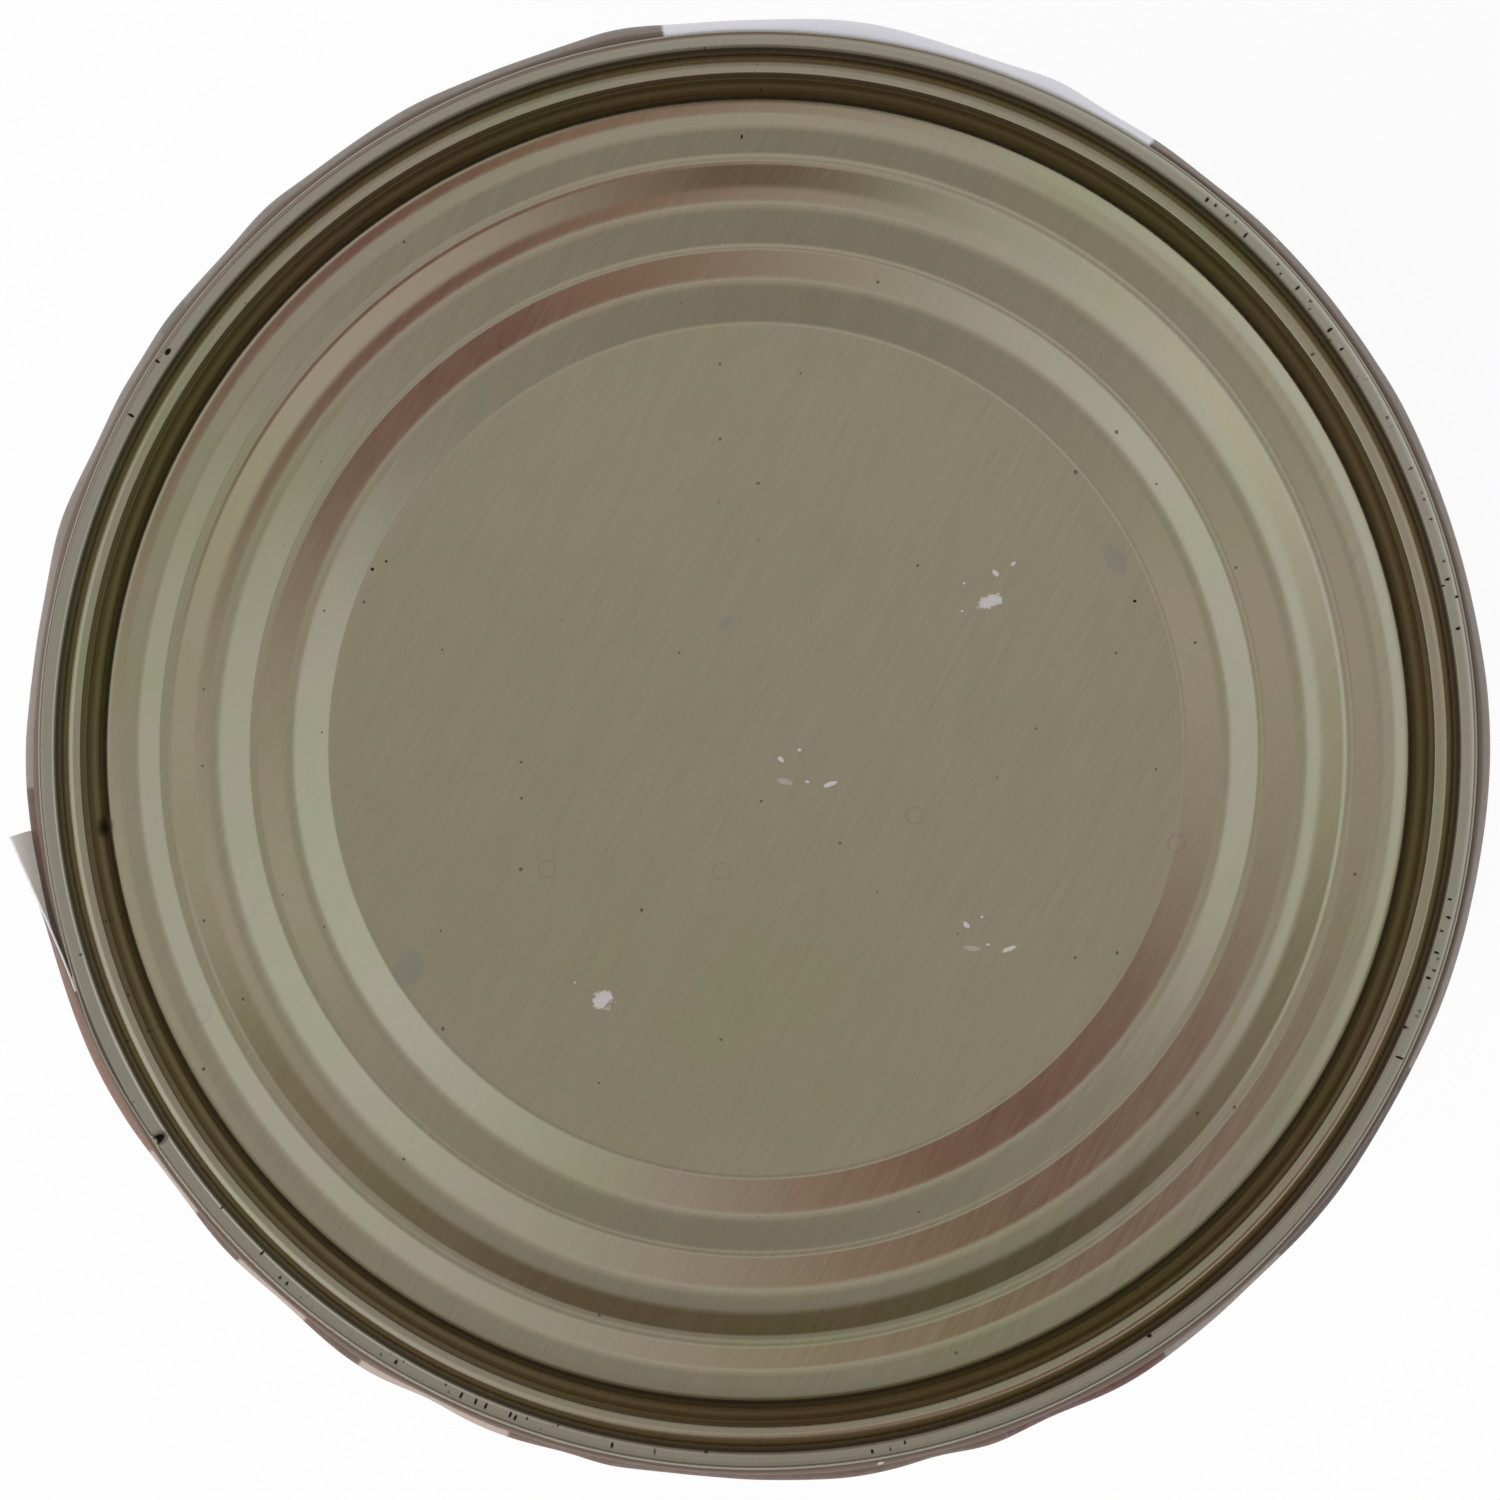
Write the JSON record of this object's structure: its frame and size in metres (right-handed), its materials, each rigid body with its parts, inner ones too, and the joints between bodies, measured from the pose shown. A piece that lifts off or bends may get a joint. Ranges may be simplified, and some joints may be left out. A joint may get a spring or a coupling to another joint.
{
  "type": "can of dog food",
  "caption": "Closed cylindrical food can with a necked-in upper end, rippled end panels inside double seams, and a loose paper label.",
  "frame": {"origin": "centre of the foot ring, the land of the wide double seam that the can stands on", "axes": "+Z along the can's axis, up to the necked-in end; +X is the right-hand side of that end as it is shown"},
  "size_m": [0.0754, 0.075, 0.11],
  "materials": {
    "lacquered_tinplate": "satin, clear gold lacquer over fine rolling grain",
    "label_paper": "gloss coated paper printed in plain fields of colour"
  },
  "bodies": {
    "root": {"can_body": "lacquered_tinplate", "necked_end": "lacquered_tinplate", "wide_end": "lacquered_tinplate", "label": "label_paper"}
  },
  "joints": []
}
